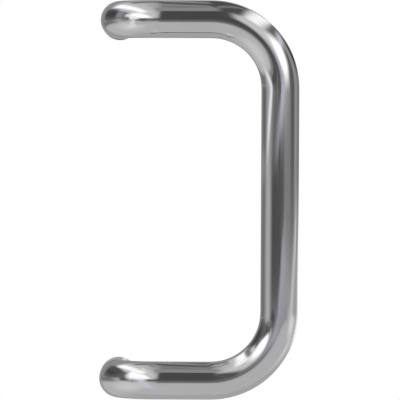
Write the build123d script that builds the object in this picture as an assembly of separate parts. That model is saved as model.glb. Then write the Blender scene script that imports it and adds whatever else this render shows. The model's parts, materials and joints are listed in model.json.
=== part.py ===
from build123d import *
import os
from math import radians, tan

# Offset door pull: one solid round bar, bent four times, with a tapped hole in the end of each foot.
# All lengths are millimetres. The door face is the plane y = 0, and the bar stands out from it along -Y.
# The origin is midway between the two fixings, +Z runs up the grip and +X points from the feet to the grip.

# Driving dimensions of the bent bar
bar_diameter = 19.0
fixing_centres = 181.0
grip_offset = 81.0
hand_clearance = 38.0
grip_corner_inside_radius = 25.0
foot_bend_inside_radius = 11.0
foot_edge_chamfer = 0.5

# Driving dimensions of the M8 tapped hole in each foot, with included angles in degrees
thread_drill_diameter = 6.8
thread_depth = 20.0
drill_point_angle = 118.0
thread_mouth_diameter = 8.4
thread_mouth_angle = 120.0

# Sizes that follow from them
bar_radius = bar_diameter / 2
grip_corner_radius = grip_corner_inside_radius + bar_radius
foot_bend_radius = foot_bend_inside_radius + bar_radius
bar_plane_y = -(hand_clearance + bar_radius)
upper_fixing_z = fixing_centres / 2
lower_fixing_z = -fixing_centres / 2


def cone_depth(wide_diameter, narrow_diameter, included_angle):
    """Depth over which a cone of this included angle narrows from one diameter to the other."""
    return (wide_diameter - narrow_diameter) / 2 / tan(radians(included_angle / 2))


def bar_centreline():
    """Line through the middle of the bar: foot, leg, grip, leg and foot, joined by tangent arcs."""
    corners = [
        (0, 0, upper_fixing_z),
        (0, bar_plane_y, upper_fixing_z),
        (grip_offset, bar_plane_y, upper_fixing_z),
        (grip_offset, bar_plane_y, lower_fixing_z),
        (0, bar_plane_y, lower_fixing_z),
        (0, 0, lower_fixing_z),
    ]
    bend_radii = [foot_bend_radius, grip_corner_radius, grip_corner_radius, foot_bend_radius]
    return FilletPolyline(*corners, radius=bend_radii)


def bent_bar():
    """The round section carried along the centreline, with the rim of each foot broken."""
    centreline = bar_centreline()
    section = Plane(origin=centreline @ 0, z_dir=centreline % 0) * Circle(bar_radius)
    bar = sweep(section, path=centreline)
    foot_faces = bar.faces().filter_by(GeomType.PLANE)
    return chamfer(foot_faces.edges(), foot_edge_chamfer)


def tapping_hole(fixing_z):
    """What drill and countersink take out of a foot: a blind hole with a conical end and a wider mouth."""
    drill_radius = thread_drill_diameter / 2
    mouth_depth = cone_depth(thread_mouth_diameter, thread_drill_diameter, thread_mouth_angle)
    point_depth = cone_depth(thread_drill_diameter, 0, drill_point_angle)
    outline = Polyline(
        (0, 0),
        (thread_mouth_diameter / 2, 0),
        (drill_radius, -mouth_depth),
        (drill_radius, -thread_depth),
        (0, -thread_depth - point_depth),
        close=True,
    )
    return Pos(0, 0, fixing_z) * revolve(make_face(outline), Axis.Y)


def pull_handle():
    """The finished handle, in one piece."""
    return bent_bar() - tapping_hole(upper_fixing_z) - tapping_hole(lower_fixing_z)


os.makedirs("parts", exist_ok=True)
export_step(pull_handle(), "parts/pull_handle.step")
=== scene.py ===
import json
import logging
import math
from dataclasses import dataclass, field
from enum import Enum
from typing import Iterator, Mapping, Sequence, Union

import bpy
from mathutils import Matrix, Vector


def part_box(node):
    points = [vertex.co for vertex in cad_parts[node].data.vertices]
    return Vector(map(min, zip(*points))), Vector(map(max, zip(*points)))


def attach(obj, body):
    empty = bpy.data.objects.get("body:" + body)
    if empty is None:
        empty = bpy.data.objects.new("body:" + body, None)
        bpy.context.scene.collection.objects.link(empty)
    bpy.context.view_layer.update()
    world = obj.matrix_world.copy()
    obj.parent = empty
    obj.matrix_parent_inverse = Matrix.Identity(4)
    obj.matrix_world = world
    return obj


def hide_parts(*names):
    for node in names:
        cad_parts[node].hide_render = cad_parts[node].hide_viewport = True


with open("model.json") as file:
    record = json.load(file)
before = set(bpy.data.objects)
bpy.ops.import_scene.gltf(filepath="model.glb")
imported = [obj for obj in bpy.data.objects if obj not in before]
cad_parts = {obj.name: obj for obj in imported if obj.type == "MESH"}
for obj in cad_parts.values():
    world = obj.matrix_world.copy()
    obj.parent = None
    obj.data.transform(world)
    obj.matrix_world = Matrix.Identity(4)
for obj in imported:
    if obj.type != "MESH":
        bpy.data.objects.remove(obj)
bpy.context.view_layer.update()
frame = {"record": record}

# Lengths are metres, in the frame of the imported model: the door face is the plane y = 0 and the handle stands
# out from it along -Y, with +Z up the grip and +X from the feet to the grip.

MM = 0.001
HANDLE_NODE = "pull_handle"
BODY = "root"
LOG = logging.getLogger("pull_handle")

# The handle's skin: its texture map, the points round the bar and the step along it
BAR_MAP = "along_and_around"
AROUND = 96
STATION = 1.5 * MM

# The texture map of a near strip: along it from 0 to 1, and across it from -1 to 1
STRIP_MAP = "strip"

# Noise varies about this value
NOISE_MIDDLE = 0.5

# An oval panel's edge and the length of its fade, in shares of its half span
OVAL_EDGE = 0.6
OVAL_FADE = 0.8

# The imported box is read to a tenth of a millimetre
BOX_DIGITS = 4

# Where the camera looks, to the side of the fixings
AIM_ACROSS = 41.0 * MM


class Value:
    """A number on a shader socket. Python's operators on it add Math nodes."""

    def __init__(self, graph: "Graph", socket: bpy.types.NodeSocket) -> None:
        """Keep the graph and the socket that carries the number."""
        self.graph = graph
        self.socket = socket

    def __add__(self, other: "Number") -> "Value":
        """Sum."""
        return self.graph.math("ADD", self, other)

    __radd__ = __add__

    def __sub__(self, other: "Number") -> "Value":
        """Difference."""
        return self.graph.math("SUBTRACT", self, other)

    def __rsub__(self, other: "Number") -> "Value":
        """Difference from a plain number."""
        return self.graph.math("SUBTRACT", other, self)

    def __mul__(self, other: "Number") -> "Value":
        """Product."""
        return self.graph.math("MULTIPLY", self, other)

    __rmul__ = __mul__

    def __truediv__(self, other: "Number") -> "Value":
        """Quotient."""
        return self.graph.math("DIVIDE", self, other)

    def __rtruediv__(self, other: "Number") -> "Value":
        """Quotient of a plain number."""
        return self.graph.math("DIVIDE", other, self)

    def __neg__(self) -> "Value":
        """Opposite."""
        return self.graph.math("MULTIPLY", self, -1.0)


Number = Union[float, Value]
Colour = tuple[float, float, float, float]


class Graph:
    """The node tree of one material or world."""

    def __init__(self, tree: bpy.types.NodeTree) -> None:
        """Start from an empty tree."""
        self.tree = tree
        tree.nodes.clear()

    def node(
        self,
        kind: str,
        settings: Mapping[str, object] | None = None,
        sockets: Mapping[Union[str, int], object] | None = None,
    ) -> bpy.types.Node:
        """Add one node.

        Args:
            kind: The node's type.
            settings: Its own properties, which are set first.
            sockets: Values or links of its inputs, by name or number.

        Returns:
            The new node.
        """
        made = self.tree.nodes.new(kind)
        for name, setting in (settings or {}).items():
            setattr(made, name, setting)
        for key, fed in (sockets or {}).items():
            if isinstance(fed, Value):
                self.tree.links.new(fed.socket, made.inputs[key])
            elif isinstance(fed, bpy.types.NodeSocket):
                self.tree.links.new(fed, made.inputs[key])
            else:
                made.inputs[key].default_value = fed
        return made

    def math(self, operation: str, *operands: Number) -> Value:
        """Add a Math node.

        Args:
            operation: What it works out, such as ADD.
            operands: Its inputs, in order.

        Returns:
            The result.
        """
        made = self.node("ShaderNodeMath", {"operation": operation}, dict(enumerate(operands)))
        return Value(self, made.outputs[0])

    def parts(self, vector: bpy.types.NodeSocket) -> tuple[Value, Value, Value]:
        """The three numbers of a vector socket."""
        made = self.node("ShaderNodeSeparateXYZ", sockets={0: vector})
        return Value(self, made.outputs[0]), Value(self, made.outputs[1]), Value(self, made.outputs[2])

    def vector(self, x: Number, y: Number, z: Number) -> bpy.types.NodeSocket:
        """A vector socket from three numbers."""
        return self.node("ShaderNodeCombineXYZ", sockets={0: x, 1: y, 2: z}).outputs[0]

    def noise(self, place: bpy.types.NodeSocket, scale: float, detail: float, roughness: float) -> Value:
        """Smooth noise.

        Args:
            place: Where it is read.
            scale: Features for each unit of place.
            detail: Octaves beyond the first.
            roughness: Weight of the finer octaves.

        Returns:
            A number that stays near 0.5.
        """
        made = self.node(
            "ShaderNodeTexNoise",
            sockets={"Vector": place, "Scale": scale, "Detail": detail, "Roughness": roughness},
        )
        return Value(self, made.outputs[0])

    def step(self, number: Number, edge: float, width: float) -> Value:
        """A smooth step from 0 to 1.

        Args:
            number: What is compared with the edge.
            edge: The middle of the step.
            width: The length of the step.

        Returns:
            The height of the step.
        """
        made = self.node(
            "ShaderNodeMapRange",
            {"interpolation_type": "SMOOTHSTEP"},
            {0: number, 1: edge - width / 2, 2: edge + width / 2, 3: 0.0, 4: 1.0},
        )
        return Value(self, made.outputs[0])

    def window(self, number: Number, low: float, high: float, width: float) -> Value:
        """A soft window: 1 between two edges and 0 outside them.

        Args:
            number: What is compared with the edges.
            low: The lower edge.
            high: The upper edge.
            width: How far each edge fades.

        Returns:
            The height of the window.
        """
        return self.step(number, low, width) * (1.0 - self.step(number, high, width))

    def mix(self, share: Number, first: object, second: object) -> bpy.types.NodeSocket:
        """A colour between two colours.

        Args:
            share: How much of the second.
            first: A colour or a colour socket.
            second: A colour or a colour socket.

        Returns:
            The mixed colour's socket.
        """
        made = self.node("ShaderNodeMix", {"data_type": "RGBA"}, {0: share, 6: first, 7: second})
        return made.outputs[2]

    def surface(self, shader: bpy.types.Node) -> None:
        """Send a shader to the output."""
        self.node("ShaderNodeOutputMaterial", sockets={"Surface": shader.outputs[0]})

    def metal(self, level: Value, roughness: Value, relief: Value, height: float) -> None:
        """Send bare grey metal to the output.

        Args:
            level: How bright it mirrors.
            roughness: How dull it is.
            relief: The bumps of its surface, as a share of their height.
            height: Their height.
        """
        colour = self.node("ShaderNodeCombineColor", sockets={0: level, 1: level, 2: level})
        bump = self.node("ShaderNodeBump", sockets={"Strength": 1.0, "Distance": height, "Height": relief})
        sockets = {
            "Base Color": colour.outputs[0],
            "Metallic": 1.0,
            "Roughness": roughness,
            "Normal": bump.outputs[0],
        }
        self.surface(self.node("ShaderNodeBsdfPrincipled", sockets=sockets))


def grey(level: float) -> Colour:
    """A neutral colour of this level."""
    return (level, level, level, 1.0)


def blank_material(name: str) -> tuple[bpy.types.Material, Graph]:
    """Start a material.

    Args:
        name: The material's name.

    Returns:
        The material and its empty graph.
    """
    made = bpy.data.materials.new(name)
    made.use_nodes = True
    return made, Graph(made.node_tree)


def leave_to_mirrors(light: bpy.types.Object) -> None:
    """Hide a light from the camera and from the floor, so that only polished metal shows it.

    Args:
        light: What is hidden.
    """
    light.visible_camera = False
    light.visible_diffuse = False
    light.visible_shadow = False


@dataclass(frozen=True)
class PolishedSteel:
    """Bright stainless bar: fine polishing lines that run along it, over slow changes of gloss."""

    name: str = "polished_steel"
    level: float = 0.62
    level_spread: float = 0.05
    gloss_roughness: float = 0.08
    roughness_spread: float = 0.04
    line_length: float = 30 * MM
    line_width: float = 0.22 * MM
    line_height: float = 0.001 * MM
    line_detail: float = 3.0
    line_fineness: float = 0.6
    line_share: float = 0.6
    cloud_size: float = 18 * MM
    cloud_detail: float = 2.0
    cloud_fineness: float = 0.5
    cloud_share: float = 0.8

    def material(self) -> bpy.types.Material:
        """Build the node material.

        Returns:
            The material.
        """
        made, graph = blank_material(self.name)
        along, around, _ = graph.parts(graph.node("ShaderNodeUVMap", {"uv_map": BAR_MAP}).outputs[0])
        line_place = graph.vector(along / self.line_length, around / self.line_width, 0.0)
        lines = graph.noise(line_place, 1.0, self.line_detail, self.line_fineness)
        place = graph.node("ShaderNodeTexCoord").outputs["Object"]
        clouds = graph.noise(place, 1.0 / self.cloud_size, self.cloud_detail, self.cloud_fineness)
        streaks = lines - NOISE_MIDDLE
        patches = clouds - NOISE_MIDDLE
        level = self.level + streaks * self.level_spread
        texture = streaks * self.line_share + patches * self.cloud_share
        roughness = self.gloss_roughness + texture * self.roughness_spread
        graph.metal(level, roughness, lines, self.line_height)
        return made


@dataclass(frozen=True)
class TurnedSteel:
    """Cut stainless at a foot: the rings that a facing tool leaves, and a duller gloss."""

    fixing_height: float
    name: str = "turned_steel"
    level: float = 0.58
    level_spread: float = 0.05
    gloss_roughness: float = 0.3
    roughness_spread: float = 0.12
    feed: float = 0.18 * MM
    ring_height: float = 0.004 * MM
    ring_share: float = 0.5
    speck_size: float = 0.6 * MM
    speck_detail: float = 2.0
    speck_fineness: float = 0.5

    def material(self) -> bpy.types.Material:
        """Build the node material.

        Returns:
            The material.
        """
        made, graph = blank_material(self.name)
        place = graph.node("ShaderNodeTexCoord").outputs["Object"]
        x, y, z = graph.parts(place)
        drop = graph.math("ABSOLUTE", z) - self.fixing_height
        radius = graph.math("SQRT", x * x + drop * drop)
        rings = graph.math("SINE", radius * (math.tau / self.feed) + y * (math.tau / self.feed))
        specks = graph.noise(place, 1.0 / self.speck_size, self.speck_detail, self.speck_fineness)
        texture = rings * self.ring_share + (specks - NOISE_MIDDLE)
        level = self.level + texture * self.level_spread
        roughness = self.gloss_roughness + texture * self.roughness_spread
        graph.metal(level, roughness, rings, self.ring_height)
        return made


class Dress(Enum):
    """Which finish a stretch of the handle's skin wears, by material slot."""

    POLISHED = 0
    TURNED = 1


@dataclass
class Station:
    """A place on the bar's centreline with the frame of its round section."""

    place: Vector
    ahead: Vector
    up: Vector

    @property
    def side(self) -> Vector:
        """The section's second axis."""
        return self.ahead.cross(self.up)

    def point(self, radius: float, angle: float) -> Vector:
        """A point of the section at this radius and angle."""
        return self.place + radius * (math.cos(angle) * self.up + math.sin(angle) * self.side)

    def moved(self, distance: float) -> "Station":
        """The same section, moved along the bar."""
        return Station(self.place + distance * self.ahead, self.ahead.copy(), self.up.copy())


@dataclass(frozen=True)
class Bend:
    """A quarter bend that eases in and out of its curve, as a bender leaves it."""

    radius: float
    ease: float

    @property
    def tight_radius(self) -> float:
        """Radius of the middle stretch, which keeps the corner's middle where a plain arc has it."""
        # An eased end moves its arc inwards by its length squared over 24 radii.
        shift = self.ease**2 / (24 * self.radius)
        return self.radius - shift * math.sqrt(2) / (math.sqrt(2) - 1)

    @property
    def length(self) -> float:
        """Length along the bar."""
        return self.tight_radius * math.pi / 2 + self.ease

    def angle(self, run: float) -> float:
        """How far the bar has turned.

        Args:
            run: Distance from the start of the bend.

        Returns:
            The angle, from 0 to a quarter turn.
        """
        spread = 2 * self.ease * self.tight_radius
        rest = self.length - run
        if run < self.ease:
            return run**2 / spread
        if rest < self.ease:
            return math.pi / 2 - rest**2 / spread
        return (run - self.ease / 2) / self.tight_radius

    def steps(self) -> list[tuple[float, float]]:
        """Start and end of each short step along the bend."""
        count = round(self.length / STATION)
        return [(self.length * k / count, self.length * (k + 1) / count) for k in range(count)]

    @property
    def setback(self) -> float:
        """From the start of the bend to the corner where its two straights would meet."""
        return sum((end - start) * math.cos(self.angle((start + end) / 2)) for start, end in self.steps())


@dataclass
class BentBar:
    """A round bar that is fed and bent in turn, as on a bender."""

    stations: list[Station]

    def feed(self, length: float) -> None:
        """Add a straight run.

        Args:
            length: Its length.
        """
        count = max(1, round(length / STATION))
        start = self.stations[-1]
        for k in range(1, count + 1):
            self.stations.append(start.moved(length * k / count))

    def turn(self, axis: Vector, bend: Bend) -> None:
        """Add a quarter bend.

        Args:
            axis: The way that the bend turns, by the right hand.
            bend: Its size.
        """
        first = self.stations[-1]
        place = first.place
        for start, end in bend.steps():
            heading = Matrix.Rotation(bend.angle((start + end) / 2), 3, axis) @ first.ahead
            place = place + (end - start) * heading
            turned = Matrix.Rotation(bend.angle(end), 3, axis)
            self.stations.append(Station(place, turned @ first.ahead, turned @ first.up))


@dataclass
class TappedHole:
    """A blind hole with a coarse M8 thread, cut into a foot along the bar."""

    drill_radius: float
    mouth_radius: float = 4.2 * MM
    thread_radius: float = 4.0 * MM
    pitch: float = 1.25 * MM
    thread_length: float = 16.0 * MM
    drill_depth: float = 20.0 * MM
    mouth_half_angle: float = math.radians(60)
    point_half_angle: float = math.radians(59)
    steps_in_pitch: int = 12
    crest_share: float = 0.125
    root_share: float = 0.25

    def groove(self, depth: float, angle: float) -> float:
        """How far the thread is cut into the wall.

        Args:
            depth: Below the foot's face.
            angle: Round the hole.

        Returns:
            A share from 0, at the drilled wall, to 1, at the thread's full depth.
        """
        phase = (depth / self.pitch - angle / math.tau) % 1.0
        away = abs(phase - 0.5) * 2
        flank = 1 - self.root_share - self.crest_share
        share = min(1.0, max(0.0, (1 - self.root_share - away) / flank))
        runout = min(1.0, max(0.0, (self.thread_length - depth) / self.pitch))
        return share * runout

    def radius(self, depth: float, angle: float) -> float:
        """The hole's radius at a depth and angle.

        Args:
            depth: Below the foot's face.
            angle: Round the hole.

        Returns:
            The wider of the countersink and the threaded wall.
        """
        cone = self.mouth_radius - depth * math.tan(self.mouth_half_angle)
        cut = (self.thread_radius - self.drill_radius) * self.groove(depth, angle)
        return max(cone, self.drill_radius + cut)

    def depths(self) -> Iterator[float]:
        """Go down the wall from ring to ring.

        Returns:
            The depth of each ring, from the mouth to the end of the drilled wall.
        """
        step = self.pitch / self.steps_in_pitch
        count = math.ceil(self.thread_length / step)
        for k in range(count + 1):
            yield min(k * step, self.thread_length)
        yield self.drill_depth

    @property
    def tip_depth(self) -> float:
        """Depth of the drill point."""
        return self.drill_depth + self.drill_radius / math.tan(self.point_half_angle)


@dataclass
class SkinMesh:
    """Rings of points, joined in order into one closed skin."""

    points: list[Vector] = field(default_factory=list)
    faces: list[tuple[int, ...]] = field(default_factory=list)
    slots: list[int] = field(default_factory=list)
    travel: list[float] = field(default_factory=list)
    last_ring: int | None = None
    first_tip: int | None = None

    def tip(self, place: Vector) -> None:
        """Start the skin at a point, or end it there.

        Args:
            place: The point.
        """
        self.points.append(place)
        self.travel.append(0.0)
        index = len(self.points) - 1
        if self.last_ring is None:
            self.first_tip = index
            return
        for k in range(AROUND):
            self.faces.append((self.last_ring + k, self.last_ring + (k + 1) % AROUND, index))
            self.slots.append(Dress.TURNED.value)

    def ring(self, station: Station, radii: Sequence[float], travel: float, dress: Dress) -> None:
        """Add a ring and join it to the one before.

        Args:
            station: Its section.
            radii: One radius for each of its points, in order round the bar.
            travel: How far along the bar it is.
            dress: The finish between it and the ring before.
        """
        start = len(self.points)
        self.points.extend(station.point(radius, math.tau * k / AROUND) for k, radius in enumerate(radii))
        self.travel.extend([travel] * AROUND)
        for k in range(AROUND):
            after = (k + 1) % AROUND
            if self.last_ring is None:
                self.faces.append((self.first_tip, start + after, start + k))
            else:
                self.faces.append((self.last_ring + k, self.last_ring + after, start + after, start + k))
            self.slots.append(dress.value)
        self.last_ring = start

    def mesh(self, name: str, wrap: float, sharp_angle: float) -> bpy.types.Mesh:
        """Make the Blender mesh, with its map along and around the bar.

        Args:
            name: The mesh's name.
            wrap: Length round the bar.
            sharp_angle: Edges that turn by more than this stay sharp.

        Returns:
            The mesh.
        """
        made = bpy.data.meshes.new(name)
        made.from_pydata([tuple(p) for p in self.points], [], self.faces)
        made.polygons.foreach_set("material_index", self.slots)
        made.polygons.foreach_set("use_smooth", [True] * len(self.faces))
        made.uv_layers.new(name=BAR_MAP)
        places = made.uv_layers[BAR_MAP].data
        half_turn = 0.5
        for face in made.polygons:
            turns = [self.turn_of(made.loops[i].vertex_index) for i in face.loop_indices]
            seam = max(turns) - min(turns) > half_turn
            for i, turn in zip(face.loop_indices, turns):
                share = turn + 1.0 if seam and turn < half_turn else turn
                places[i].uv = (self.travel[made.loops[i].vertex_index], share * wrap)
        made.set_sharp_from_angle(angle=sharp_angle)
        made.update()
        return made

    def turn_of(self, index: int) -> float:
        """Share of a turn at which a point of a ring lies."""
        return ((index - 1) % AROUND) / AROUND


@dataclass
class PullHandle:
    """The offset pull: one bar, bent four times, with a tapped hole in each foot."""

    bar_radius: float
    fixing_height: float
    grip_offset: float
    stand_off: float
    drill_radius: float
    grip_corner_inside: float = 25.0 * MM
    foot_bend_inside: float = 11.0 * MM
    grip_corner_ease: float = 6.0 * MM
    foot_bend_ease: float = 4.0 * MM
    rim_chamfer: float = 0.5 * MM
    sharp_angle: float = math.radians(35)

    @classmethod
    def from_frame(cls) -> "PullHandle":
        """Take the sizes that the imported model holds.

        Returns:
            The handle, at those sizes.
        """
        low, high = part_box(HANDLE_NODE)
        mounts = {mount["name"]: mount for mount in frame["record"]["mounts"]}
        fixing = mounts["door_fixing"]["dims"]
        fixing_height = fixing["spacing_y_mm"] * MM / 2
        bar_radius = high[2] - fixing_height
        return cls(
            bar_radius=bar_radius,
            fixing_height=fixing_height,
            grip_offset=high[0] - bar_radius,
            stand_off=round(-low[1], BOX_DIGITS),
            drill_radius=fixing["hole_r_mm"] * MM,
        )

    def bar(self) -> BentBar:
        """Feed and bend the bar.

        Returns:
            The bar, from the upper foot's face to the lower's.
        """
        corner = Bend(self.grip_corner_inside + self.bar_radius, self.grip_corner_ease)
        foot = Bend(self.foot_bend_inside + self.bar_radius, self.foot_bend_ease)
        leg = self.grip_offset - foot.setback - corner.setback
        grip = 2 * (self.fixing_height - corner.setback)
        stem = self.stand_off - self.bar_radius - foot.setback
        start = Station(Vector((0, 0, self.fixing_height)), Vector((0, -1, 0)), Vector((0, 0, 1)))
        bar = BentBar([start])
        bar.feed(stem)
        bar.turn(Vector((0, 0, 1)), foot)
        bar.feed(leg)
        bar.turn(Vector((0, 1, 0)), corner)
        bar.feed(grip)
        bar.turn(Vector((0, 1, 0)), corner)
        bar.feed(leg)
        bar.turn(Vector((0, 0, -1)), foot)
        bar.feed(stem)
        return bar

    def foot_rings(self, face: Station, inward: float) -> list[tuple[Station, list[float]]]:
        """Rings of a foot's end, from the bottom of its hole to its outer rim.

        Args:
            face: The section at the foot's face.
            inward: 1 if the bar leads away from the face, and -1 if it ends there.

        Returns:
            Each ring's section and its radii round the bar.
        """
        hole = TappedHole(self.drill_radius)
        angles = [math.tau * k / AROUND for k in range(AROUND)]
        rings = []
        for depth in reversed(list(hole.depths())):
            rings.append((face.moved(inward * depth), [hole.radius(depth, angle) for angle in angles]))
        rings.append((face, [self.bar_radius - self.rim_chamfer] * AROUND))
        return rings

    def skin(self) -> SkinMesh:
        """Join the feet and the bar into one closed skin.

        Returns:
            The skin, from the bottom of the upper hole to the bottom of the lower.
        """
        bar = self.bar()
        first, last = bar.stations[0], bar.stations[-1]
        tip_depth = TappedHole(self.drill_radius).tip_depth
        round_bar = [self.bar_radius] * AROUND
        rings = [(station, radii, Dress.TURNED) for station, radii in self.foot_rings(first, 1.0)]
        rings.append((first.moved(self.rim_chamfer), round_bar, Dress.POLISHED))
        rings.extend((station, round_bar, Dress.POLISHED) for station in bar.stations[1:-1])
        rings.append((last.moved(-self.rim_chamfer), round_bar, Dress.POLISHED))
        skin = SkinMesh()
        skin.tip(first.moved(tip_depth).place)
        travel = 0.0
        before = first
        for station, radii, dress in rings:
            travel += (station.place - before.place).length
            before = station
            skin.ring(station, radii, travel, dress)
        # The lower rim's chamfer is polished with the bar, and all beyond it is turned.
        dress = Dress.POLISHED
        for station, radii in reversed(self.foot_rings(last, -1.0)):
            skin.ring(station, radii, travel, dress)
            dress = Dress.TURNED
        skin.tip(last.moved(-tip_depth).place)
        return skin

    def build(self) -> bpy.types.Object:
        """Make the handle in place of its plain node.

        Returns:
            The handle.
        """
        mesh = self.skin().mesh("bright_bar", math.tau * self.bar_radius, self.sharp_angle)
        piece = bpy.data.objects.new("bright_bar", mesh)
        bpy.context.scene.collection.objects.link(piece)
        mesh.materials.append(PolishedSteel().material())
        mesh.materials.append(TurnedSteel(fixing_height=self.fixing_height).material())
        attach(piece, BODY)
        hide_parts(HANDLE_NODE)
        return piece


class Tint(Enum):
    """Colour of a panel's or a strip's light, for a level of 1."""

    NEUTRAL = (1.0, 1.0, 1.0)
    COOL = (0.99, 0.99, 1.06)
    LAVENDER = (0.99, 0.97, 1.14)

    def at(self, level: float) -> Colour:
        """The colour at this level."""
        red, green, blue = self.value
        return (red * level, green * level, blue * level, 1.0)


class Shape(Enum):
    """How a panel's mask is drawn."""

    BOX = "box"
    OVAL = "oval"


class Axes(Enum):
    """Which two angles place a panel on the tent."""

    ROUND = "lean from overhead, to the right if positive, then depth towards the camera"
    LEVEL = "rise above the horizon, then turn from the camera, to the right if positive"


@dataclass(frozen=True)
class Panel:
    """A soft-edged panel of the light tent, in degrees along its two axes.

    A box fades over its edges' widths, and an oval fades from its middle out. With a tilt, the first angle's
    limits move by that share of the second angle.
    """

    name: str
    first: tuple[float, float]
    second: tuple[float, float]
    level: float
    first_edge: float = 5.0
    second_edge: float = 9.0
    tilt: float = 0.0
    tint: Tint = Tint.NEUTRAL
    shape: Shape = Shape.BOX
    axes: Axes = Axes.ROUND

    def mask(self, graph: Graph, angles: Mapping[Axes, tuple[Value, Value]]) -> Value:
        """Where the panel shows.

        Args:
            graph: The tent's node tree.
            angles: The two angles at each point of the tent, for each choice of axes.

        Returns:
            A number from 0, off the panel, to 1, on it.
        """
        first, second = angles[self.axes]
        if self.tilt:
            first = first - second * self.tilt
        if self.shape is Shape.BOX:
            across = graph.window(first, *self.first, self.first_edge)
            return across * graph.window(second, *self.second, self.second_edge)
        across = self.reach(first, *self.first)
        along = self.reach(second, *self.second)
        away = graph.math("SQRT", across * across + along * along)
        return 1.0 - graph.step(away, OVAL_EDGE, OVAL_FADE)

    def reach(self, angle: Value, low: float, high: float) -> Value:
        """How far an angle is from the middle of its limits, as a share of half their span."""
        return (angle - (low + high) / 2) / ((high - low) / 2)


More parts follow.
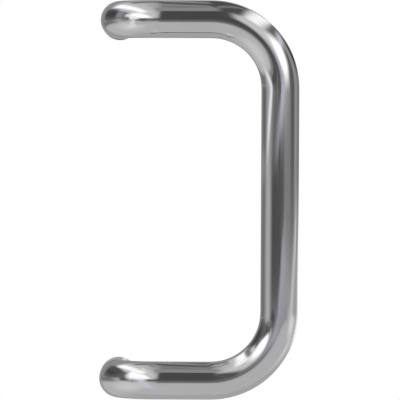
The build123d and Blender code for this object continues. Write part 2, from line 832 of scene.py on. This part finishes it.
PANELS = (
    Panel("right cloth", (94, 190), (-95, 76), 0.66, 5, 20),
    Panel("left cloth", (-190, -96), (-95, 74), 0.68, 8, 20),
    Panel("left cloth glow", (-160, -92), (-34, 70), 0.88, shape=Shape.OVAL),
    Panel("right cloth glow", (90, 116), (-24, 34), 1.0, shape=Shape.OVAL),
    Panel("right cloth low glow", (95, 160), (-30, 8), 0.92, shape=Shape.OVAL),
    Panel("right cloth floor", (130, 190), (-95, -6), 0.56, 24, 16),
    Panel("left cloth floor", (-190, -158), (-95, -6), 0.56, 24, 16),
    Panel("left cloth back", (-190, -95), (-95, -52), 0.42, 8, 20),
    Panel("right cloth rim", (118, 190), (-95, -52), 0.42, 16, 20),
    Panel("right cloth back", (92, 117), (-95, -42), 1.2, 14, 18),
    Panel("back wall", (-95, 92), (-95, -46), 0.35, 8, 18),
    Panel("back rim", (-80, -46), (-95, -76), 0.17, 8, 12),
    Panel("left ceiling", (-36, -9), (-44, 62), 0.78, 26, 24),
    Panel("dark ceiling", (-1, 23.5), (-52, 95), 0.11, 6, 14),
    Panel("ceiling diagonal", (5.5, 13), (-30, 34), 0.28, 5, 14, -0.42),
    Panel("ceiling front light", (-8, 5), (17, 39), 0.38, 8, 8),
    Panel("ceiling back dark", (-21, -1), (-41, -24), 0.25, 6, 7),
    Panel("ceiling light seam", (-0.9, 0.3), (-25, 24), 0.42, 0.9, 20, 0.125),
    Panel("ceiling back seam", (1.3, 2.6), (-64, -14), 0.42, 0.9, 14, 0.069),
    Panel("ceiling dark seam", (0.6, 2.8), (-38, 12), 0.12, 0.9, 14, 0.125),
    Panel("front ceiling", (-4, 14), (44, 95), 0.085, 8, 10),
    Panel("right strip light", (25, 39), (-54, 38), 1.48, 11, 14, -0.05),
    Panel("right strip tail", (32, 36), (-95, -44), 1.2, 6, 12, -0.04),
    Panel("right seam", (41.5, 48), (-70, 30), 0.20, 6, 12, 0.03),
    Panel("right pale strip", (50, 57), (-34, 30), 0.85, 7, 18, 0.1, Tint.LAVENDER),
    Panel("right wall top", (60, 92.5), (-6, 28), 0.16, 8, 12),
    Panel("right wall gap", (57, 92.5), (-28, -6), 0.41, 6, 12),
    Panel("right wall end", (51, 92.5), (-58, -29), 0.28, 8, 14),
    Panel("right wall dark end", (46, 80), (-72, -22), 0.05, shape=Shape.OVAL),
    Panel("front right box", (16, 84), (34, 70), 0.85, 11, 18),
    Panel("front right glow", (31, 77), (2, 76), 2.0, tilt=0.18, shape=Shape.OVAL),
    Panel("left wall", (-88, -51), (-46, 22), 0.17, 8, 14),
    Panel("left wall dark", (-88, -46), (-56, 8), 0.08, shape=Shape.OVAL),
    Panel("left pale strip", (-55, -43), (-12, 28), 0.75, 8, 16, 0.0, Tint.LAVENDER),
    Panel("front left sill", (-82, -66), (34, 95), 0.10, 8, 24, -0.3),
    Panel("front left box", (-82, -18), (29, 74), 0.85, 14, 18),
    Panel("front left glow", (-88, -36), (8, 82), 1.9, shape=Shape.OVAL),
    Panel("left box edge", (-48, -27), (25, 37), 0.12, 7, 6, -1.6),
    Panel("left strip light", (-44, -29), (-36, 38), 1.6, 10, 16, 0.05),
    Panel("left wall edge", (-96, -86), (-38, -4), 0.19, 8, 18),
    Panel("front right sill", (86, 93.5), (24, 95), 0.30, 6, 14),
    Panel("front right sill top", (85, 97), (64, 95), 0.15, 6, 16),
    Panel("lens end", (-200, 200), (81, 95), 0.11, 5, 11),
    Panel("front right haze", (46, 84), (66, 87), 0.6, 16, 14, 0.0, Tint.LAVENDER),
    Panel("left box foot", (3.8, 8.5), (-62, -12), 0.62, 3, 14, axes=Axes.LEVEL),
    Panel("left wall front", (4, 12), (-80, -64), 0.18, 3, 10, axes=Axes.LEVEL),
    Panel("left cloth far edge", (-11, 0), (-150, -90), 0.25, 9, 22, axes=Axes.LEVEL),
    Panel("left wall gap", (0.6, 3.6), (-126, -90), 0.19, 1.2, 12, axes=Axes.LEVEL),
    Panel("front rail", (0.9, 3.8), (-60, -2), 0.17, 1.4, 12, axes=Axes.LEVEL),
    Panel("front rail left", (0.9, 3.8), (-80, -44), 0.34, 1.4, 32, axes=Axes.LEVEL),
    Panel("front shade left", (-4.8, 0.6), (-90, -3), 0.105, 1.2, 34, axes=Axes.LEVEL),
    Panel("front shade right", (-2.6, 1.2), (-8, 22), 0.12, 1.4, 18, 0.03, axes=Axes.LEVEL),
    Panel("front shade foot", (-15, -5), (-6, 4), 0.22, 5, 7, axes=Axes.LEVEL),
    Panel("left cloth front", (-9, -4.8), (-60, -14), 0.30, 4, 16, axes=Axes.LEVEL),
    Panel("left pale wall", (-14, 10), (-113, -42), 0.58, shape=Shape.OVAL, axes=Axes.LEVEL),
    Panel("right cloth front", (-9.5, -4), (8, 52), 0.44, 3, 14, 0.02, Tint.COOL, axes=Axes.LEVEL),
    Panel("right cloth far edge", (-7, -2.6), (90, 130), 0.52, 2.4, 14, axes=Axes.LEVEL),
    Panel("front slot", (4, 50), (-4.2, 3), 0.09, 4, 4, axes=Axes.LEVEL),
    Panel("front slot right", (4, 50), (0, 9), 0.09, 4, 9, axes=Axes.LEVEL),
    Panel("left rail", (0.1, 0.9), (-145, -92), 0.42, 0.8, 14, axes=Axes.LEVEL),
    Panel("right bright rail", (-10.3, -9.1), (68, 120), 0.92, 1.3, 14, 0.072, Tint.COOL, axes=Axes.LEVEL),
)


@dataclass
class LightTent:
    """The studio round the handle: a globe of bright and dark panels that only polished metal sees.

    It closes in front of the handle, and its back edge leaves a small round hole behind it.
    """

    centre: Vector
    radius: float = 1.4
    back_edge: float = math.radians(-89)
    wall_level: float = 0.42
    segments: int = 96
    rings: int = 48

    def material(self) -> bpy.types.Material:
        """Paint the panels on the globe, each over the ones before.

        Returns:
            The material.
        """
        made, graph = blank_material("tent_panels")
        x, y, z = graph.parts(graph.node("ShaderNodeTexCoord").outputs["Object"])
        radian = math.degrees(1)
        angles = {
            Axes.ROUND: (
                graph.math("ARCTAN2", x, z) * radian,
                graph.math("ARCSINE", y / -self.radius) * radian,
            ),
            Axes.LEVEL: (
                graph.math("ARCSINE", z / self.radius) * radian,
                graph.math("ARCTAN2", x, -y) * radian,
            ),
        }
        colour: object = grey(self.wall_level)
        for panel in PANELS:
            colour = graph.mix(panel.mask(graph, angles), colour, panel.tint.at(panel.level))
        graph.surface(graph.node("ShaderNodeEmission", sockets={"Color": colour, "Strength": 1.0}))
        return made

    def build(self) -> bpy.types.Object:
        """Make the globe from rings, from its back edge to the point in front.

        Returns:
            The tent.
        """
        points = []
        for ring in range(self.rings + 1):
            depth = self.back_edge + (math.pi / 2 - self.back_edge) * ring / self.rings
            reach = self.radius * math.cos(depth)
            front = -self.radius * math.sin(depth)
            for k in range(self.segments):
                turn = math.tau * k / self.segments
                points.append((reach * math.sin(turn), front, reach * math.cos(turn)))
        faces = []
        for ring in range(self.rings):
            for k in range(self.segments):
                after = (k + 1) % self.segments
                low, high = ring * self.segments, (ring + 1) * self.segments
                faces.append((low + k, low + after, high + after, high + k))
        mesh = bpy.data.meshes.new("light_tent")
        mesh.from_pydata(points, [], faces)
        mesh.materials.append(self.material())
        tent = bpy.data.objects.new("light_tent", mesh)
        tent.location = self.centre
        bpy.context.scene.collection.objects.link(tent)
        leave_to_mirrors(tent)
        return tent


@dataclass(frozen=True)
class NearStrip:
    """A soft strip of light or shade on an arc close round the grip.

    Its turns are degrees from the camera, to the right if positive. It climbs or falls evenly from its first
    height to its last, but for the sag of its middle. The fades at its ends are shares of its length, and the
    edge and its fade are shares of its half width.
    """

    name: str
    turns: tuple[float, float]
    heights: tuple[float, float]
    half_width: float
    level: float
    tint: Tint
    reach: float = 100 * MM
    sag: float = 0.0
    first_fade: float = 0.3
    last_fade: float = 0.3
    edge: float = 0.55
    edge_fade: float = 0.9
    segments: int = 24

    def material(self) -> bpy.types.Material:
        """Paint a light that fades to nothing at the strip's edges and ends.

        Returns:
            The material.
        """
        made, graph = blank_material(self.name)
        along, across, _ = graph.parts(graph.node("ShaderNodeUVMap", {"uv_map": STRIP_MAP}).outputs[0])
        ends = graph.step(along, self.first_fade / 2, self.first_fade)
        ends = ends * (1.0 - graph.step(along, 1.0 - self.last_fade / 2, self.last_fade))
        edges = 1.0 - graph.step(graph.math("ABSOLUTE", across), self.edge, self.edge_fade)
        light = graph.node("ShaderNodeEmission", sockets={"Color": self.tint.at(self.level)})
        clear = graph.node("ShaderNodeBsdfTransparent")
        sockets = {0: ends * edges, 1: clear.outputs[0], 2: light.outputs[0]}
        graph.surface(graph.node("ShaderNodeMixShader", sockets=sockets))
        return made

    def build(self, centre: Vector) -> bpy.types.Object:
        """Make the strip.

        Args:
            centre: The middle of the grip.

        Returns:
            The strip.
        """
        points = []
        places = []
        for k in range(self.segments + 1):
            share = k / self.segments
            turn = math.radians(self.turns[0] + (self.turns[1] - self.turns[0]) * share)
            height = self.heights[0] + (self.heights[1] - self.heights[0]) * share
            # The sag is a parabola: none at the ends and all of it in the middle.
            height -= self.sag * 4 * share * (1 - share)
            out = centre + self.reach * Vector((math.sin(turn), -math.cos(turn), 0.0))
            for side in (-1.0, 1.0):
                points.append((out.x, out.y, height + side * self.half_width))
                places.append((share, side))
        faces = [(2 * k, 2 * k + 2, 2 * k + 3, 2 * k + 1) for k in range(self.segments)]
        mesh = bpy.data.meshes.new(self.name)
        mesh.from_pydata(points, [], faces)
        map_data = mesh.uv_layers.new(name=STRIP_MAP).data
        for loop in mesh.loops:
            map_data[loop.index].uv = places[loop.vertex_index]
        mesh.materials.append(self.material())
        strip = bpy.data.objects.new(self.name, mesh)
        bpy.context.scene.collection.objects.link(strip)
        leave_to_mirrors(strip)
        return strip


# Strips that only the metal mirrors: each puts a painted highlight or painted shade into the reflection of the
# grip, a corner or a foot.
NEAR_STRIPS = (
    NearStrip(
        "left_strip",
        (-96, -38),
        (14 * MM, 75 * MM),
        18 * MM,
        1.2,
        Tint.COOL,
        reach=140 * MM,
        first_fade=0.45,
    ),
    NearStrip(
        "upper_strip",
        (-50, 34),
        (17 * MM, 76 * MM),
        17 * MM,
        0.72,
        Tint.LAVENDER,
        sag=9 * MM,
        first_fade=0.95,
        last_fade=0.2,
    ),
    NearStrip(
        "lower_strip",
        (-22, 34),
        (-84 * MM, -16 * MM),
        26 * MM,
        0.52,
        Tint.LAVENDER,
        first_fade=0.36,
    ),
    NearStrip(
        "upper_foot_card",
        (-84, -58),
        (104 * MM, 97 * MM),
        25 * MM,
        1.35,
        Tint.NEUTRAL,
        reach=140 * MM,
        first_fade=0.25,
        last_fade=0.4,
    ),
    NearStrip(
        "lower_foot_card",
        (-80, -54),
        (-66 * MM, -82 * MM),
        11 * MM,
        0.9,
        Tint.NEUTRAL,
        reach=140 * MM,
        first_fade=0.2,
        last_fade=0.4,
    ),
    NearStrip(
        "foot_strip",
        (-78, -32),
        (-56 * MM, -200 * MM),
        44 * MM,
        0.86,
        Tint.LAVENDER,
        last_fade=0.7,
    ),
    NearStrip(
        "corner_strip",
        (-34, 8),
        (-61 * MM, -70 * MM),
        11 * MM,
        0.52,
        Tint.LAVENDER,
        reach=60 * MM,
        first_fade=0.6,
        last_fade=0.2,
    ),
    NearStrip(
        "corner_shade",
        (-51, -28),
        (-68 * MM, -85 * MM),
        9 * MM,
        0.11,
        Tint.NEUTRAL,
        reach=45 * MM,
        first_fade=0.25,
        last_fade=0.3,
    ),
    # Painted shade: a dark strip that cuts a notch of shade into the lower corner's highlight.
    NearStrip(
        "corner_notch_shade",
        (-97, -55),
        (-67 * MM, -72.4 * MM),
        2.7 * MM,
        0.28,
        Tint.NEUTRAL,
        reach=24 * MM,
        sag=-1.4 * MM,
        first_fade=0.2,
        last_fade=0.3,
    ),
    # Painted shade: a dark strip that darkens the inner edge of the lower corner's highlight.
    NearStrip(
        "corner_edge_shade",
        (-68, -29),
        (-59.6 * MM, -61.4 * MM),
        2.4 * MM,
        0.12,
        Tint.NEUTRAL,
        reach=30 * MM,
        first_fade=0.2,
        last_fade=0.3,
    ),
    # Painted shade: a grey strip that dims the upper foot's reflection under its highlight.
    NearStrip(
        "upper_foot_grey_light",
        (-81, -56),
        (78 * MM, 70 * MM),
        8 * MM,
        0.62,
        Tint.NEUTRAL,
        reach=90 * MM,
        first_fade=0.2,
        last_fade=0.2,
    ),
    NearStrip(
        "upper_foot_shade",
        (-77, -50),
        (83.5 * MM, 79 * MM),
        4.5 * MM,
        0.24,
        Tint.NEUTRAL,
        reach=88 * MM,
        first_fade=0.3,
        last_fade=0.2,
    ),
    NearStrip(
        "upper_foot_gleam",
        (-86, -78),
        (72 * MM, 92 * MM),
        9 * MM,
        1.05,
        Tint.COOL,
        reach=86 * MM,
        first_fade=0.3,
        last_fade=0.3,
    ),
    NearStrip(
        "lower_foot_gleam",
        (-87, -64),
        (-82 * MM, -81 * MM),
        10.5 * MM,
        1.6,
        Tint.NEUTRAL,
        reach=80 * MM,
        first_fade=0.16,
        last_fade=0.5,
    ),
    NearStrip(
        "lower_foot_shade",
        (-103, -86),
        (-76.5 * MM, -76.5 * MM),
        7.3 * MM,
        0.12,
        Tint.NEUTRAL,
        reach=92 * MM,
    ),
    # Painted shade: a dark strip that cuts a notch of shade into the upper foot's highlight.
    NearStrip(
        "upper_foot_notch_shade",
        (-88.5, -81.5),
        (91.5 * MM, 90.5 * MM),
        5 * MM,
        0.25,
        Tint.NEUTRAL,
        reach=88 * MM,
    ),
    # Painted highlight: a dim strip that lays a thin ridge of light on the upper foot's reflection.
    NearStrip(
        "upper_foot_ridge_light",
        (-91.5, -86),
        (95.5 * MM, 95.5 * MM),
        8 * MM,
        0.38,
        Tint.COOL,
        reach=89 * MM,
    ),
    # Painted shade: a dark strip that cuts a notch of shade into the lower foot's highlight.
    NearStrip(
        "lower_foot_notch_shade",
        (-89, -81),
        (-88.7 * MM, -89.8 * MM),
        2.8 * MM,
        0.12,
        Tint.NEUTRAL,
        reach=86 * MM,
    ),
)


@dataclass
class Floor:
    """The plain pale floor under the handle."""

    height: float = -0.42
    half_width: float = 3.0
    level: float = 0.8

    def build(self) -> bpy.types.Object:
        """Make the floor and its matt paint.

        Returns:
            The floor.
        """
        half = self.half_width
        corners = [(-half, -half, 0), (half, -half, 0), (half, half, 0), (-half, half, 0)]
        mesh = bpy.data.meshes.new("floor")
        mesh.from_pydata(corners, [], [(0, 1, 2, 3)])
        paint, graph = blank_material("floor_paint")
        graph.surface(graph.node("ShaderNodeBsdfDiffuse", sockets={"Color": grey(self.level)}))
        mesh.materials.append(paint)
        floor = bpy.data.objects.new("floor", mesh)
        floor.location = (0, 0, self.height)
        bpy.context.scene.collection.objects.link(floor)
        floor.visible_glossy = False
        return floor


@dataclass
class Surround:
    """Even white light from all round, which is also the white behind the handle."""

    level: float = 1.0

    def build(self) -> bpy.types.World:
        """Make the light and give it to the scene.

        Returns:
            The world.
        """
        world = bpy.data.worlds.new("white_surround")
        world.use_nodes = True
        graph = Graph(world.node_tree)
        light = graph.node("ShaderNodeBackground", sockets={"Color": grey(1.0), "Strength": self.level})
        graph.node("ShaderNodeOutputWorld", sockets={"Surface": light.outputs[0]})
        bpy.context.scene.world = world
        return world


@dataclass
class ViewCamera:
    """The camera at the photograph's viewing angle."""

    target: Vector
    azimuth: float = math.radians(-0.20)
    elevation: float = math.radians(0.66)
    roll: float = math.radians(0.29)
    distance: float = 2.127
    focal_pixels: float = 4248.0
    image_pixels: float = 400.0
    sensor: float = 36.0
    nearest: float = 0.1
    farthest: float = 50.0

    def build(self) -> bpy.types.Object:
        """Make the camera and give it to the scene.

        Returns:
            The camera.
        """
        data = bpy.data.cameras.new("view_camera")
        data.sensor_width = self.sensor
        data.lens = self.focal_pixels / self.image_pixels * self.sensor
        data.clip_start = self.nearest
        data.clip_end = self.farthest
        camera = bpy.data.objects.new("view_camera", data)
        level = math.cos(self.elevation)
        back = Vector(
            (
                math.sin(self.azimuth) * level,
                -math.cos(self.azimuth) * level,
                math.sin(self.elevation),
            )
        )
        look = (-back).to_track_quat("-Z", "Y").to_matrix().to_4x4()
        roll = Matrix.Rotation(self.roll, 4, "Z")
        camera.matrix_world = Matrix.Translation(self.target + back * self.distance) @ look @ roll
        bpy.context.scene.collection.objects.link(camera)
        bpy.context.scene.camera = camera
        return camera


def main() -> None:
    """Build the handle and its studio in order."""
    logging.basicConfig(level=logging.INFO, format="%(name)s: %(message)s")
    bpy.context.scene.view_settings.view_transform = "Standard"
    handle = PullHandle.from_frame()
    piece = handle.build()
    LOG.info("%s: %d faces", piece.name, len(piece.data.polygons))
    bar_plane = handle.bar_radius - handle.stand_off
    middle = Vector((handle.grip_offset / 2, bar_plane, 0.0))
    grip = Vector((handle.grip_offset, bar_plane, 0.0))
    tent = LightTent(middle).build()
    LOG.info("%s: %d panels", tent.name, len(PANELS))
    for strip in NEAR_STRIPS:
        made = strip.build(grip)
        LOG.info("%s: %.0f mm from the grip", made.name, strip.reach / MM)
    floor = Floor().build()
    LOG.info("%s: %.2f m below the fixings' middle", floor.name, -floor.location.z)
    world = Surround().build()
    LOG.info("%s", world.name)
    camera = ViewCamera(Vector((AIM_ACROSS, bar_plane, 0.0))).build()
    LOG.info("%s: %.0f mm lens", camera.name, camera.data.lens)


if __name__ == "__main__":
    main()
